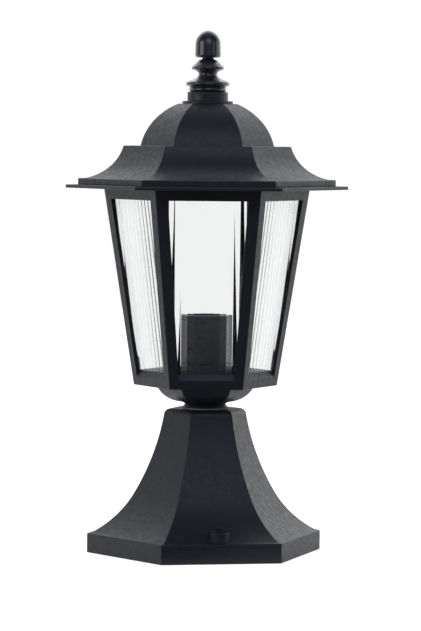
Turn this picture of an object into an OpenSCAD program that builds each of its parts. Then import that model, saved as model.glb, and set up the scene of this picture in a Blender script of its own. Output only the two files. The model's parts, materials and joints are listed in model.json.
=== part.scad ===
// Six-sided pedestal garden lantern with reeded clear panes, a hollow flared foot and a turned finial.
// Millimetres. The origin is at the middle of the foot on the ground.
// +Z is up and -Y is the pedestal's front.

/* [Pedestal] */
// Half width across the flats of the plinth
plinth_half = 81.4; // [79:0.2:96]
// Height of the plinth's straight side
plinth_h = 15.5; // [11:0.5:22]
// Overall height of the pedestal
pedestal_h = 113.7; // [104:0.1:130]
// Half width of the flare where its two arcs meet
waist_half = 49; // [46:0.5:50]
// Height where the flare's two arcs meet
waist_z = 47; // [44:0.5:52]
// Slope of the flare's normal at that place
waist_lean = 27.2; // [26:0.2:29]
// Radius of the upper, slender arc
upper_arc_r = 205; // [190:1:240]
// Radius of the lower, spreading arc
lower_arc_r = 78; // [72:1:80]
// Rounding of the shoulder at the top
shoulder_r = 5; // [3:0.5:7]
// Wall of the pedestal
pedestal_wall = 2.6; // [2:0.1:3.2]
// Thickness of the pedestal's top
pedestal_top_t = 3.5; // [2.5:0.1:5]

/* [Fixing wells] */
// Number of fixing wells, the first one at the front
well_count = 2; // [2:1:3]
// Outer radius of a well
well_r = 8.3; // [7.5:0.1:9]
// Wall of a well
well_wall = 1.7; // [1.2:0.1:2.4]
// Height of a well above the plinth
well_rise = 8.5; // [6:0.5:10]
// Distance from a well to the plinth's edge
well_edge = 1.1; // [0.8:0.1:3]
// Thickness of a well's floor
well_floor_t = 4; // [3:0.5:6]
// Radius of the fixing hole
fixing_hole_r = 2.75; // [2:0.05:3.5]

/* [Neck] */
// Turn of the lantern on its pedestal, seen from above
head_turn = -8.8; // [-30:0.2:30]
// Thickness of the gasket on the pedestal
gasket_t = 0.8; // [0.5:0.1:1.5]
// Play between the gasket and the collar that turns on it
turn_play = 0.02; // [0.01:0.01:0.1]
// How far the gasket stands out past the collar's foot
gasket_margin = 0.3; // [0.1:0.1:0.8]
// Height of the neck collar
collar_h = 2.9; // [2:0.1:6]
// Radius of the collar's foot
collar_foot_r = 18; // [17:0.1:20]
// Radius of the neck at its narrowest
neck_r = 16; // [13:0.1:17]
// Height of the bowl's own neck ring
bowl_neck_h = 1.4; // [1:0.1:4]
// Radius of that ring where it meets the bowl
bowl_neck_r = 18.4; // [17:0.1:20]

/* [Lantern body] */
// Half width of the flat under the bowl, up to where its sides curve
bowl_flat_half = 15.7; // [12:0.1:18]
// Radius of the bowl's curved side
bowl_arc_r = 18.8; // [17:0.1:20]
// Height of the bowl up to the bottom rail
bowl_h = 13.2; // [11:0.1:16]
// Wall of the bowl
bowl_wall = 2.4; // [1.8:0.1:3]
// Half width of the cage at the bottom rail's lower edge
cage_foot_half = 49.2; // [48:0.2:56]
// Half width of the cage under the flange
cage_top_half = 70.5; // [66:0.2:74]
// Height of the cage from the rail's lower edge to the flange
cage_h = 155.4; // [130:0.2:190]
// Height of the bottom rail's outer face
rail_h = 7.2; // [6.5:0.1:9]
// Rise of the sloping sill behind the rail
sill_rise = 4.5; // [3:0.1:6]
// Height of the header over the windows
header_h = 8.4; // [6:0.1:12]
// Width of a post's face at the sill
post_foot_w = 7.5; // [6.5:0.1:9]
// Width of a post's face at the header
post_top_w = 9.2; // [7:0.1:10]
// Thickness of the posts' faces, rails and header
lip_t = 3; // [2.2:0.1:3.6]
// Thickness of the rib between two panes
post_rib_t = 1.4; // [1:0.1:1.8]
// Thickness of the cage's floor round the bowl
floor_t = 2.5; // [2:0.1:3.2]
// Depth of the pane pocket below the sill
pocket_depth = 5.7; // [4:0.1:6]
// Thickness of the pocket's inner lip
pocket_lip_t = 1.6; // [1.2:0.1:2.2]
// How far the pocket's inner lip stays below the sill
pocket_lip_drop = 1.7; // [1:0.1:3]
// Half width across the flats of the flange
flange_half = 96.8; // [90:0.2:104]
// Thickness of the flange
flange_t = 2.6; // [2:0.1:4]

/* [Panes] */
// Thickness of a pane without its reeds
pane_t = 3; // [2.4:0.1:3.2]
// Height of the reeds on a pane's outer side
reed_h = 0.18; // [0.1:0.02:0.5]
// Distance from one reed to the next
reed_pitch = 5; // [4:0.25:8]
// Play between a pane and what it slides against
pane_clearance = 0.25; // [0.15:0.05:0.4]
// Distance from a pane's edge to the corner where two panes would meet
pane_corner_gap = 1.6; // [1.4:0.1:2.2]
// How far the panes stop below the roof
pane_top_gap = 3.5; // [2:0.1:6]

/* [Roof] */
// Half width across the flats of the roof's lip
roof_lip_half = 88.3; // [86:0.2:96]
// Height of the roof's lip
roof_lip_h = 5.1; // [4:0.1:7]
// Step from the lip in to the foot of the skirt
skirt_step = 4.5; // [3:0.1:6]
// Height of the hollow-sided skirt
skirt_h = 25.9; // [22:0.1:28]
// Half width at the skirt's top edge
skirt_top_half = 57.4; // [56:0.2:60]
// Radius of the skirt's hollow side
skirt_arc_r = 34.6; // [32:0.2:40]
// Half width of the dome where it leaves the skirt
dome_foot_half = 45.8; // [42:0.1:46.2]
// Radius of the dome's side
dome_arc_r = 46.6; // [46.4:0.1:50]
// Height of the dome with its round disc
dome_h = 35.4; // [33:0.1:36]
// Wall of the roof
roof_wall = 2.4; // [1.8:0.1:3]
// Thickness of the disc on the dome
cap_disc_t = 2.1; // [1.5:0.1:3]
// Radius of the disc on the dome
cap_disc_r = 20; // [19:0.1:24]
// Radius of the collar under the finial
cap_collar_r = 16; // [15:0.1:18]
// Height of the collar under the finial
cap_collar_h = 7.2; // [5:0.1:10]
// Thickness of the roof's locating ring
ring_t = 2; // [1.6:0.1:2.6]
// How far the locating ring reaches down into the header
ring_reach = 8; // [5:0.5:8.4]
// Play between the locating ring and the panes
ring_clearance = 0.3; // [0.2:0.05:0.5]

/* [Finial] */
// Height of the finial over the roof's collar
finial_h = 48.4; // [46:0.1:54]
// Radius of the bead at the finial's foot
bead_r = 14.8; // [13:0.1:16]
// Radius of the lower disc
lower_disc_r = 17.3; // [16:0.1:19]
// Radius of the neck between the discs
finial_neck_r = 7.3; // [6.4:0.1:8]
// Radius of the upper disc
upper_disc_r = 12.8; // [12:0.1:14.5]
// Radius of the neck under the acorn
acorn_neck_r = 4.7; // [3.5:0.1:5.5]
// Largest radius of the acorn
acorn_r = 10.2; // [9.4:0.1:11.5]
// Radius of the spigot that sits in the roof
spigot_r = 6; // [5:0.1:7]
// Length of the spigot
spigot_h = 6.5; // [4:0.1:6.6]
// Play round the spigot
spigot_clearance = 0.2; // [0.1:0.05:0.4]

/* [Lampholder] */
// Outer radius of the lampholder
holder_r = 19.5; // [19.5:0.1:21]
// Height of the lampholder
holder_h = 58; // [56:0.5:66]
// Distance from the bowl's seat up to the lampholder
holder_lift = 7.3; // [5.8:0.1:12]
// Height of the lampholder's cap up to its joint
cap_h = 19.5; // [18:0.1:22]
// Wall of the lampholder's cap and skirt
holder_wall = 2; // [1.8:0.1:2.2]
// Inner radius of the lamp's screw shell
lamp_thread_r = 13.3; // [12:0.05:13.3]
// Length of the lamp's screw shell
lamp_thread_h = 26; // [22:0.5:27]
// Sheet thickness of the screw shell and the contact
contact_t = 0.5; // [0.4:0.05:0.8]

/* [Nipple and nuts] */
// Outer radius of the threaded nipple
nipple_r = 5; // [4.5:0.1:5.4]
// Bore radius of the nipple
nipple_bore_r = 3.5; // [3.4:0.1:3.8]
// Play round the nipple in what turns on it
nipple_clearance = 0.3; // [0.2:0.05:0.5]
// How far the nipple reaches into the lampholder
nipple_reach = 9; // [7:0.5:9.5]
// Width across the flats of a nut
nut_flats = 14; // [13:0.1:16]
// Height of a nut
nut_h = 4; // [3:0.1:4.4]
// Radius of a washer
washer_r = 10; // [9:0.1:12]
// Thickness of a washer
washer_t = 1.2; // [0.8:0.1:1.4]

/* [Terminals] */
// Thickness of the bracket's sheet
bracket_t = 1.5; // [1:0.1:2]
// Width of the bracket
bracket_w = 18; // [16:0.5:20]
// How far the bracket's leg reaches down past the terminal block
leg_below = 14; // [12:0.5:18]
// Width of the terminal block
block_w = 20; // [19:0.5:22]
// Depth of the terminal block
block_d = 12; // [11:0.5:12.5]
// Height of the terminal block
block_h = 16; // [15:0.5:18]
// Radius of a wire with its sleeve
wire_r = 1.1; // [0.9:0.05:1.2]

/* [Hidden] */
$fn = 96;
// Overlap of fused solids, and how far a cutter runs past a face
small = 0.01;
past = 1;
// Largest sag of the chords that draw an outline's arcs
arc_sag = 0.02;

// Pedestal: the two arcs of the flare share the normal at their joint
upper_arc_x = waist_half + upper_arc_r * cos(waist_lean);
upper_arc_z = waist_z + upper_arc_r * sin(waist_lean);
lower_arc_x = waist_half + lower_arc_r * cos(waist_lean);
lower_arc_z = waist_z + lower_arc_r * sin(waist_lean);
shoulder_from = 15;
shoulder_half = upper_arc_x - sqrt(pow(upper_arc_r, 2) - pow(upper_arc_z - pedestal_h + shoulder_r, 2));
fixing_circle_r = plinth_half - well_edge - well_r;
well_top_z = plinth_h + well_rise;

// Neck and bowl, one on top of the other
collar_z = pedestal_h + gasket_t + turn_play;
neck_z = collar_z + collar_h;
bowl_z = neck_z + bowl_neck_h;
bowl_arc_z = bowl_z + bowl_arc_r;
seat_t = 1.5;
seat_r = washer_r + 1;
seat_z = bowl_z + bowl_wall + seat_t;

// Cage: its faces lean out by the same slope all the way up
cage_z = bowl_z + bowl_h;
flange_z = cage_z + cage_h;
cage_slope = (cage_top_half - cage_foot_half) / cage_h;
cage_lean = atan(cage_slope);
rail_top_z = cage_z + rail_h;
sill_z = rail_top_z + sill_rise;
window_top_z = flange_z - header_h;
pocket_z = sill_z - pocket_depth;
pocket_lip_z = sill_z - pocket_lip_drop;
pane_full_t = pane_t + reed_h;
pane_inset = lip_t + pane_clearance;
pocket_inset = pane_inset + pane_full_t + pane_clearance;
rib_reach = corner_r(pane_inset + pane_full_t) - ring_clearance / 2;
rib_shy = 1;

// Roof
roof_z = flange_z + flange_t;
skirt_z = roof_z + roof_lip_h;
skirt_foot_half = roof_lip_half - skirt_step;
skirt_top_z = skirt_z + skirt_h;
skirt_chord = [skirt_top_half - skirt_foot_half, skirt_h];
skirt_bow = sqrt(pow(skirt_arc_r, 2) - pow(norm(skirt_chord) / 2, 2)) / norm(skirt_chord);
skirt_arc_x = (skirt_foot_half + skirt_top_half) / 2 + skirt_h * skirt_bow;
skirt_arc_z = (skirt_z + skirt_top_z) / 2 - skirt_chord[0] * skirt_bow;
dome_arc_z = skirt_top_z - sqrt(pow(dome_arc_r, 2) - pow(dome_foot_half, 2));
cap_disc_z = skirt_top_z + dome_h;
finial_z = cap_disc_z + cap_collar_h;
pane_top_z = roof_z - pane_top_gap;
ring_inset = pane_inset + pane_full_t + ring_clearance;
roof_ceiling_z = cap_disc_z - cap_disc_t - roof_wall;
screw_bite = 1;
screw_top_z = finial_z + screw_bite;
screw_shank_r = 1.9;
screw_head_r = 4;
screw_head_h = 2.6;
screw_slot_w = 1;
screw_slot_d = 1.4;

// Lampholder
holder_z = seat_z + holder_lift;
holder_top_z = holder_z + holder_h;
joint_z = holder_z + cap_h;
spigot_ring_h = 5.5;
insert_flange_t = 2.5;
insert_top_z = joint_z + spigot_ring_h + insert_flange_t;
holder_bore_r = holder_r - holder_wall - 1;
holder_play = 0.2;
holder_mouth_r = lamp_thread_r + contact_t + 0.8;
mouth_lip_t = 2;
ledge_r = holder_bore_r - 0.7;
lap_r = holder_bore_r + 1;
cap_bore_r = holder_bore_r - 1;
cap_round = 4;
cap_floor_t = holder_wall + 0.5;
cap_boss_r = nipple_r + 3;
cap_boss_h = nipple_reach + 1;
insert_r = cap_bore_r - holder_play;
insert_drop = 11;
insert_foot_z = insert_top_z - insert_drop;
shell_hole_r = lamp_thread_r / 2;
tongue_well = 5;
tongue_foot = shell_hole_r - 1.05;
tongue_reach = 4.6;
tongue_rise = tongue_well - 0.8;
tongue_w = 5;
terminal_x = 9;
terminal_head_r = 3;
terminal_head_h = 2.8;
terminal_shank_r = 1.5;
terminal_shank_h = 3.8;
terminal_sink = 0.6;
slot_w = 0.8;
slot_d = 0.8;

// Nipple, nuts and washers along the axis
bore_with_play = nipple_r + nipple_clearance;
pedestal_ceiling_z = pedestal_h - pedestal_top_t;
lower_washer_z = pedestal_ceiling_z - washer_t;
lower_nut_z = lower_washer_z - nut_h;
bracket_z = lower_nut_z - bracket_t;
bracket_nut_z = bracket_z - nut_h;
nipple_end = 2;
nipple_z = bracket_nut_z - nipple_end;
nipple_top_z = holder_z + nipple_reach;
thread_play = 0.05;

// Bracket and terminal block below the nipple
leg_y = 13;
wire_room = 8;
block_z = nipple_z - wire_room - block_h;
block_y = leg_y - block_d;
leg_foot_z = block_z - leg_below;
pole_x = block_w / 2 - 5.5;
pole_r = 2;
pole_y = leg_y - block_d / 2;
block_screw_r = 1.7;
block_screw_sink = 0.8;
block_screw_h = pole_y - pole_r - block_y - block_screw_sink - 0.4;
block_screw_z = 4;
block_groove_w = 2;
clamp_d = 5;
clamp_h = 6;
clamp_z = leg_foot_z + clamp_h / 2 + 0.5;
clamp_screw_x = bracket_w / 2 - 2.5;
clamp_screw_r = 1.2;
clamp_head_r = 2.4;
clamp_head_h = 1.8;
cable_r = 3.6;
wire_x = 1.5;
wire_facets = 12;

function face_half(z) = cage_foot_half + cage_slope * (z - cage_z);
function inset(t) = t / cos(cage_lean);
function corner_r(half) = half / cos(30);
function post_w(z) = post_foot_w + (post_top_w - post_foot_w) * (z - rail_top_z) / (window_top_z - rail_top_z);
function window_half(z) = face_half(z) * tan(30) - post_w(z);
function pane_half(z) = (face_half(z) - inset(pane_inset + pane_full_t)) * tan(30) - pane_corner_gap;

// A solid with six equal sides: one outline of half width against height, seen on each pair of faces
module six_sided(depth) {
    intersection() {
        rotate(30) rotate([90, 0, 0]) linear_extrude(depth, center = true) children();
        rotate(90) rotate([90, 0, 0]) linear_extrude(depth, center = true) children();
        rotate(150) rotate([90, 0, 0]) linear_extrude(depth, center = true) children();
    }
}

// The same outline mirrored onto the other side
function both_sides(points) =
    concat(points, [for (i = [len(points) - 1:-1:0]) [-points[i][0], points[i][1]]]);

// Points along an arc from one angle to another
function arc_steps(r, sweep) = ceil(abs(sweep) / (2 * acos(1 - arc_sag / r)));
function arc(x, z, r, from, to) = let (steps = arc_steps(r, to - from))
    [for (i = [0:steps]) let (a = from + (to - from) * i / steps) [x + r * cos(a), z + r * sin(a)]];

// The angle at which a hollow side, centred outside the outline, crosses a height
function hollow_angle(centre_z, r, z) = 180 + asin((centre_z - z) / r);

module six_sided_outline(points) {
    six_sided(4 * flange_half) polygon(both_sides(points));
}

module head() {
    rotate(head_turn) children();
}

module black_plastic() {
    color([0.13, 0.135, 0.145]) children();
}

module steel() {
    color([0.66, 0.67, 0.69]) children();
}

module brass() {
    color([0.8, 0.62, 0.3]) children();
}

// Pedestal

function flare(wall, foot_z, top_z) = concat(
    arc(lower_arc_x, lower_arc_z, lower_arc_r + wall,
        hollow_angle(lower_arc_z, lower_arc_r + wall, foot_z), 180 + waist_lean),
    arc(upper_arc_x, upper_arc_z, upper_arc_r + wall,
        180 + waist_lean - 1, hollow_angle(upper_arc_z, upper_arc_r + wall, top_z)));

module pedestal_outer() {
    six_sided_outline(concat([[plinth_half, 0], [plinth_half, plinth_h]],
        flare(0, plinth_h, pedestal_h - shoulder_r),
        arc(shoulder_half - shoulder_r, pedestal_h - shoulder_r, shoulder_r, shoulder_from, 90)));
}

module pedestal_inner() {
    inside = plinth_half - pedestal_wall;
    under = plinth_h - pedestal_wall;
    six_sided_outline(concat([[inside, -past], [inside, under]],
        flare(pedestal_wall, under, pedestal_ceiling_z)));
}

module at_wells() {
    for (i = [0:well_count - 1]) rotate(i * 360 / well_count) translate([0, -fixing_circle_r, 0]) children();
}

module pedestal() {
    black_plastic() difference() {
        union() {
            difference() {
                pedestal_outer();
                pedestal_inner();
            }
            at_wells() cylinder(r = well_r, h = well_top_z);
        }
        at_wells() translate([0, 0, well_floor_t]) cylinder(r = well_r - well_wall, h = 2 * well_top_z);
        at_wells() translate([0, 0, -past]) cylinder(r = fixing_hole_r, h = well_floor_t + 2 * past);
        translate([0, 0, pedestal_ceiling_z - past]) cylinder(r = bore_with_play, h = pedestal_top_t + 2 * past);
    }
}

// Neck

module neck_gasket() {
    color([0.55, 0.54, 0.5]) translate([0, 0, pedestal_h]) difference() {
        cylinder(r = collar_foot_r + gasket_margin, h = gasket_t);
        translate([0, 0, -past]) cylinder(r = bore_with_play, h = gasket_t + 2 * past);
    }
}

module neck_collar() {
    black_plastic() head() translate([0, 0, collar_z]) difference() {
        cylinder(r1 = collar_foot_r, r2 = neck_r, h = collar_h);
        translate([0, 0, -past]) cylinder(r = bore_with_play, h = collar_h + 2 * past);
    }
}

// Lantern body: bowl, rail, six posts, header and flange in one moulding

function bowl_side(wall, top) = arc(bowl_flat_half, bowl_arc_z, bowl_arc_r - wall,
    -90, asin((top - bowl_arc_z) / (bowl_arc_r - wall)));

function leaning(t, z) = [face_half(z) - inset(t), z];

module body_outer() {
    six_sided_outline(concat(bowl_side(0, cage_z),
        [leaning(0, cage_z), leaning(0, flange_z), [flange_half, flange_z], [flange_half, roof_z]]));
}

module body_inner() {
    floor_z = cage_z + floor_t;
    six_sided_outline(concat(bowl_side(bowl_wall, floor_z),
        [leaning(pocket_inset + pocket_lip_t, floor_z), leaning(pocket_inset + pocket_lip_t, pocket_lip_z),
        leaning(lip_t, pocket_lip_z), leaning(lip_t, roof_z + past)]));
}

// The groove round the floor that takes the feet of the panes
module pane_pocket() {
    difference() {
        six_sided_outline([leaning(lip_t, pocket_z), leaning(lip_t, sill_z)]);
        six_sided_outline([leaning(pocket_inset, pocket_z - past), leaning(pocket_inset, sill_z + past)]);
    }
}

module window_cut() {
    outside = face_half(roof_z) + past;
    sill_y = face_half(sill_z) - inset(lip_t);
    fall = (outside - sill_y) * sill_rise / inset(lip_t);
    intersection() {
        rotate([90, 0, 0]) linear_extrude(outside) polygon(both_sides([
            [window_half(rail_top_z - fall), rail_top_z - fall], [window_half(window_top_z), window_top_z]]));
        rotate([90, 0, 90]) linear_extrude(2 * face_half(roof_z), center = true) polygon([
            [-outside, sill_z - fall], [-sill_y, sill_z], [-sill_y + lip_t, sill_z],
            [-sill_y + lip_t, window_top_z], [-outside, window_top_z]]);
    }
}

module post_rib() {
    z0 = cage_z + floor_t - small;
    rotate([90, 0, 0]) linear_extrude(post_rib_t, center = true) polygon([
        [corner_r(face_half(z0)) - rib_reach, z0], [corner_r(face_half(z0)) - rib_shy, z0],
        [corner_r(face_half(roof_z)) - rib_shy, roof_z], [corner_r(face_half(roof_z)) - rib_reach, roof_z]]);
}

module lantern_body() {
    black_plastic() head() difference() {
        union() {
            difference() {
                body_outer();
                body_inner();
                pane_pocket();
                for (i = [0:5]) rotate(60 * i) window_cut();
            }
            for (i = [0:5]) rotate(60 * i) post_rib();
            translate([0, 0, neck_z]) cylinder(r1 = neck_r, r2 = bowl_neck_r, h = bowl_neck_h + small);
            translate([0, 0, bowl_z + small]) cylinder(r = seat_r, h = seat_z - bowl_z - small);
        }
        translate([0, 0, neck_z - past]) cylinder(r = bore_with_play, h = seat_z - neck_z + 2 * past);
    }
}

// Panes: flat plates with reeds on the outside and a groove on the middle line, dropped in behind the posts

module pane_section(half) {
    reed_arc_r = (pow(reed_pitch / 2, 2) + pow(reed_h, 2)) / (2 * reed_h);
    last = ceil(half / reed_pitch);
    translate([-2 * half, reed_h]) square([4 * half, pane_t]);
    intersection() {
        translate([-2 * half, 0]) square([4 * half, pane_full_t]);
        for (i = [-last:last - 1]) translate([(i + 1 / 2) * reed_pitch, reed_arc_r]) circle(reed_arc_r);
    }
}

module pane(i) {
    length = (pane_top_z - pocket_z) / cos(cage_lean);
    color([0.86, 0.92, 0.95, 0.4]) head() rotate(60 * i) translate([0, -face_half(pocket_z), pocket_z])
        rotate([cage_lean, 0, 0]) translate([0, pane_inset, 0]) intersection() {
            linear_extrude(length) pane_section(pane_half(pane_top_z));
            rotate([90, 0, 0]) linear_extrude(4 * pane_full_t, center = true)
                polygon(both_sides([[pane_half(pocket_z), 0], [pane_half(pane_top_z), length]]));
        }
}

module pane_front() {
    pane(0);
}

module pane_front_right() {
    pane(1);
}

module pane_back_right() {
    pane(2);
}

module pane_back() {
    pane(3);
}

module pane_back_left() {
    pane(4);
}

module pane_front_left() {
    pane(5);
}

// Roof

function skirt_side(wall) = arc(skirt_arc_x, skirt_arc_z, skirt_arc_r + wall,
    hollow_angle(skirt_arc_z, skirt_arc_r + wall, skirt_z - wall),
    hollow_angle(skirt_arc_z, skirt_arc_r + wall, skirt_top_z - wall));

function dome_side(wall, top) = arc(0, dome_arc_z, dome_arc_r - wall,
    asin((skirt_top_z - wall - dome_arc_z) / (dome_arc_r - wall)),
    asin((top - dome_arc_z) / (dome_arc_r - wall)));

module roof_outer() {
    six_sided_outline(concat([[roof_lip_half, roof_z], [roof_lip_half, skirt_z]],
        skirt_side(0), dome_side(0, cap_disc_z - cap_disc_t)));
}

module roof_inner() {
    inside = roof_lip_half - roof_wall;
    six_sided_outline(concat([[inside, roof_z - past], [inside, skirt_z - roof_wall]],
        skirt_side(roof_wall), dome_side(roof_wall, cap_disc_z - cap_disc_t - roof_wall)));
}

// Height of the middle of the skirt's wall over a place on its half width
function skirt_middle_z(half) =
    skirt_arc_z - sqrt(pow(skirt_arc_r + roof_wall / 2, 2) - pow(skirt_arc_x - half, 2));

// The ring that drops inside the header and keeps the panes' heads against it
module locating_ring() {
    foot_z = roof_z - ring_reach;
    middle = ring_inset + ring_t / 2;
    near_top_z = skirt_middle_z(face_half(skirt_z) - inset(middle));
    top_z = skirt_middle_z(face_half(near_top_z) - inset(middle));
    difference() {
        six_sided_outline([leaning(ring_inset, foot_z), leaning(ring_inset, top_z)]);
        six_sided_outline([leaning(ring_inset + ring_t, foot_z - past), leaning(ring_inset + ring_t, top_z + past)]);
    }
}

module roof() {
    black_plastic() head() difference() {
        union() {
            difference() {
                roof_outer();
                roof_inner();
            }
            locating_ring();
            translate([0, 0, cap_disc_z - cap_disc_t - small])
                cylinder(r = cap_disc_r, h = cap_disc_t + small);
            translate([0, 0, cap_disc_z - small]) cylinder(r = cap_collar_r, h = cap_collar_h + small);
        }
        translate([0, 0, finial_z - spigot_h - spigot_clearance])
            cylinder(r = spigot_r + spigot_clearance, h = spigot_h + past);
        translate([0, 0, roof_ceiling_z - past])
            cylinder(r = screw_shank_r + spigot_clearance, h = finial_z - roof_ceiling_z);
    }
}

// Finial

module finial_outline() {
    bead_round = 1.9;
    rim_round = 1.7;
    lower_disc_z = finial_z + 6.4;
    cove_r = 4.1;
    cove_z = finial_z + 13.7;
    upper_round = 0.9;
    upper_disc_z = finial_z + 19;
    upper_top_z = finial_z + 24.8;
    upper_top_r = 0.6 * upper_disc_r;
    acorn_step = 0.9;
    acorn_z = finial_z + 27;
    acorn_round = 2;
    acorn_arc_r = 12.8;
    acorn_waist_r = acorn_r - 0.3;
    tip_angle = acos((acorn_arc_r - acorn_waist_r) / acorn_arc_r);
    tip_z = finial_z + finial_h;
    polygon(concat([[0, finial_z - spigot_h], [spigot_r, finial_z - spigot_h], [spigot_r, finial_z]],
        arc(bead_r - bead_round, finial_z + bead_round, bead_round, -90, 60),
        arc(lower_disc_r - rim_round, lower_disc_z, rim_round, -50, 70),
        arc(finial_neck_r + cove_r, cove_z, cove_r, 270, 90),
        arc(upper_disc_r - upper_round, upper_disc_z, upper_round, -60, 50),
        [[upper_top_r, upper_top_z], [acorn_neck_r, upper_top_z + acorn_step], [acorn_neck_r, acorn_z]],
        arc(acorn_r - acorn_round, acorn_z + acorn_round, acorn_round, -90, 0),
        arc(acorn_waist_r - acorn_arc_r, tip_z - acorn_arc_r * sin(tip_angle), acorn_arc_r,
            0, 0.97 * tip_angle),
        [[0, tip_z]]));
}

module square_to(r, z0, z1) {
    translate([0, z0]) square([r, z1 - z0]);
}

module finial() {
    color([0.1, 0.1, 0.11]) head() difference() {
        rotate_extrude() finial_outline();
        translate([0, 0, finial_z - spigot_h - past])
            cylinder(r = screw_shank_r + thread_play, h = screw_bite + spigot_h + 2 * past);
    }
}

module finial_screw() {
    steel() head() difference() {
        union() {
            translate([0, 0, roof_ceiling_z - screw_head_h]) cylinder(r = screw_head_r, h = screw_head_h);
            translate([0, 0, roof_ceiling_z - small])
                cylinder(r = screw_shank_r, h = screw_top_z - roof_ceiling_z);
        }
        for (turn = [0, 90]) rotate(turn) translate([0, 0, roof_ceiling_z - screw_head_h])
            cube([1.2 * screw_head_r, screw_slot_w, 2 * screw_slot_d], center = true);
    }
}

// Lampholder

module holder_cap() {
    black_plastic() head() difference() {
        union() {
            rotate_extrude() {
                square_to(holder_r - cap_round, holder_z, joint_z);
                square_to(holder_r, holder_z + cap_round, joint_z);
                translate([holder_r - cap_round, holder_z + cap_round]) circle(cap_round);
            }
            translate([0, 0, joint_z - small])
                cylinder(r = lap_r - holder_play, h = spigot_ring_h + small);
        }
        difference() {
            translate([0, 0, holder_z + cap_floor_t]) cylinder(r = cap_bore_r, h = holder_h);
            translate([0, 0, holder_z]) cylinder(r = cap_boss_r, h = cap_boss_h);
        }
        translate([0, 0, holder_z - past]) cylinder(r = nipple_r + thread_play, h = cap_boss_h + 2 * past);
    }
}

module holder_skirt() {
    black_plastic() head() difference() {
        translate([0, 0, joint_z]) cylinder(r = holder_r, h = holder_top_z - joint_z);
        translate([0, 0, joint_z - past]) cylinder(r = lap_r, h = spigot_ring_h + past);
        translate([0, 0, joint_z + spigot_ring_h - small])
            cylinder(r = holder_bore_r + holder_play, h = insert_flange_t + holder_play);
        translate([0, 0, joint_z]) cylinder(r = ledge_r, h = holder_top_z - joint_z - mouth_lip_t);
        translate([0, 0, joint_z]) cylinder(r = holder_mouth_r, h = holder_h);
    }
}

module holder_insert() {
    color([0.9, 0.89, 0.85]) head() difference() {
        union() {
            translate([0, 0, insert_foot_z]) cylinder(r = insert_r, h = insert_drop);
            translate([0, 0, insert_top_z - insert_flange_t]) cylinder(r = holder_bore_r, h = insert_flange_t);
        }
        translate([0, 0, insert_top_z - tongue_well]) cylinder(r = shell_hole_r, h = tongue_well + past);
        for (side = [-1, 1]) translate([side * terminal_x, 0, insert_foot_z - past]) {
            cylinder(r = terminal_head_r + 2 * holder_play, h = past + terminal_sink + terminal_head_h);
            cylinder(r = terminal_shank_r + 2 * thread_play,
                h = past + terminal_sink + terminal_head_h + terminal_shank_h + holder_play);
        }
    }
}

module screw_shell() {
    brass() head() translate([0, 0, insert_top_z]) difference() {
        cylinder(r = lamp_thread_r + contact_t, h = lamp_thread_h + contact_t);
        translate([0, 0, contact_t]) cylinder(r = lamp_thread_r, h = lamp_thread_h + past);
        translate([0, 0, -past]) cylinder(r = shell_hole_r, h = contact_t + 2 * past);
    }
}

module centre_contact() {
    tip_z = tongue_rise + 1.2 * contact_t;
    brass() head() translate([0, 0, insert_top_z - tongue_well]) rotate([90, 0, 0])
        linear_extrude(tongue_w, center = true) polygon([
            [-tongue_foot, 0], [-1, 0], [tongue_reach, tongue_rise], [tongue_reach, tip_z],
            [tongue_reach - 1, tip_z], [-1.2, contact_t], [-tongue_foot, contact_t]]);
}

module holder_terminals() {
    brass() head() for (side = [-1, 1]) translate([side * terminal_x, 0, insert_foot_z + terminal_sink])
        difference() {
            union() {
                cylinder(r = terminal_head_r, h = terminal_head_h);
                translate([0, 0, terminal_head_h - small])
                    cylinder(r = terminal_shank_r, h = terminal_shank_h + small);
            }
            cube([3 * terminal_head_r, slot_w, 2 * slot_d], center = true);
        }
}

// Nipple, nuts and washers

module nipple() {
    steel() head() translate([0, 0, nipple_z]) difference() {
        cylinder(r = nipple_r, h = nipple_top_z - nipple_z);
        translate([0, 0, -past]) cylinder(r = nipple_bore_r, h = nipple_top_z - nipple_z + 2 * past);
    }
}

module lock_nut(z) {
    translate([0, 0, z]) difference() {
        cylinder(r = corner_r(nut_flats / 2), h = nut_h, $fn = 6);
        translate([0, 0, -past]) cylinder(r = nipple_r + thread_play, h = nut_h + 2 * past);
    }
}

module lock_nuts() {
    steel() head() {
        lock_nut(seat_z + washer_t);
        lock_nut(lower_nut_z);
        lock_nut(bracket_nut_z);
    }
}

module washers() {
    steel() head() for (z = [seat_z, lower_washer_z]) translate([0, 0, z]) difference() {
        cylinder(r = washer_r, h = washer_t);
        translate([0, 0, -past]) cylinder(r = nipple_r + thread_play, h = washer_t + 2 * past);
    }
}

// Bracket and terminal block

module terminal_bracket() {
    steel() head() difference() {
        union() {
            translate([-bracket_w / 2, -bracket_w / 2, bracket_z])
                cube([bracket_w, leg_y + bracket_t + bracket_w / 2, bracket_t]);
            translate([-bracket_w / 2, leg_y, leg_foot_z])
                cube([bracket_w, bracket_t, bracket_z + bracket_t - leg_foot_z]);
        }
        translate([0, 0, bracket_z - past]) cylinder(r = nipple_r + thread_play, h = bracket_t + 2 * past);
        for (side = [-1, 1]) translate([side * clamp_screw_x, leg_y - past, clamp_z]) rotate([-90, 0, 0])
            cylinder(r = clamp_screw_r + 2 * thread_play, h = bracket_t + 2 * past);
    }
}

module terminal_block() {
    color([0.93, 0.93, 0.9]) head() difference() {
        translate([-block_w / 2, block_y, block_z]) cube([block_w, block_d, block_h]);
        for (side = [-1, 1]) translate([side * pole_x, pole_y, block_z - past])
            cylinder(r = pole_r, h = block_h + 2 * past);
        at_block_screws() translate([0, 0, -past])
            cylinder(r = block_screw_r + holder_play, h = pole_y - pole_r - block_y + past + 0.2);
        translate([0, block_y, block_z + block_h / 2])
            cube([block_groove_w, 2 * block_groove_w, block_h + 2 * past], center = true);
    }
}

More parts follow.
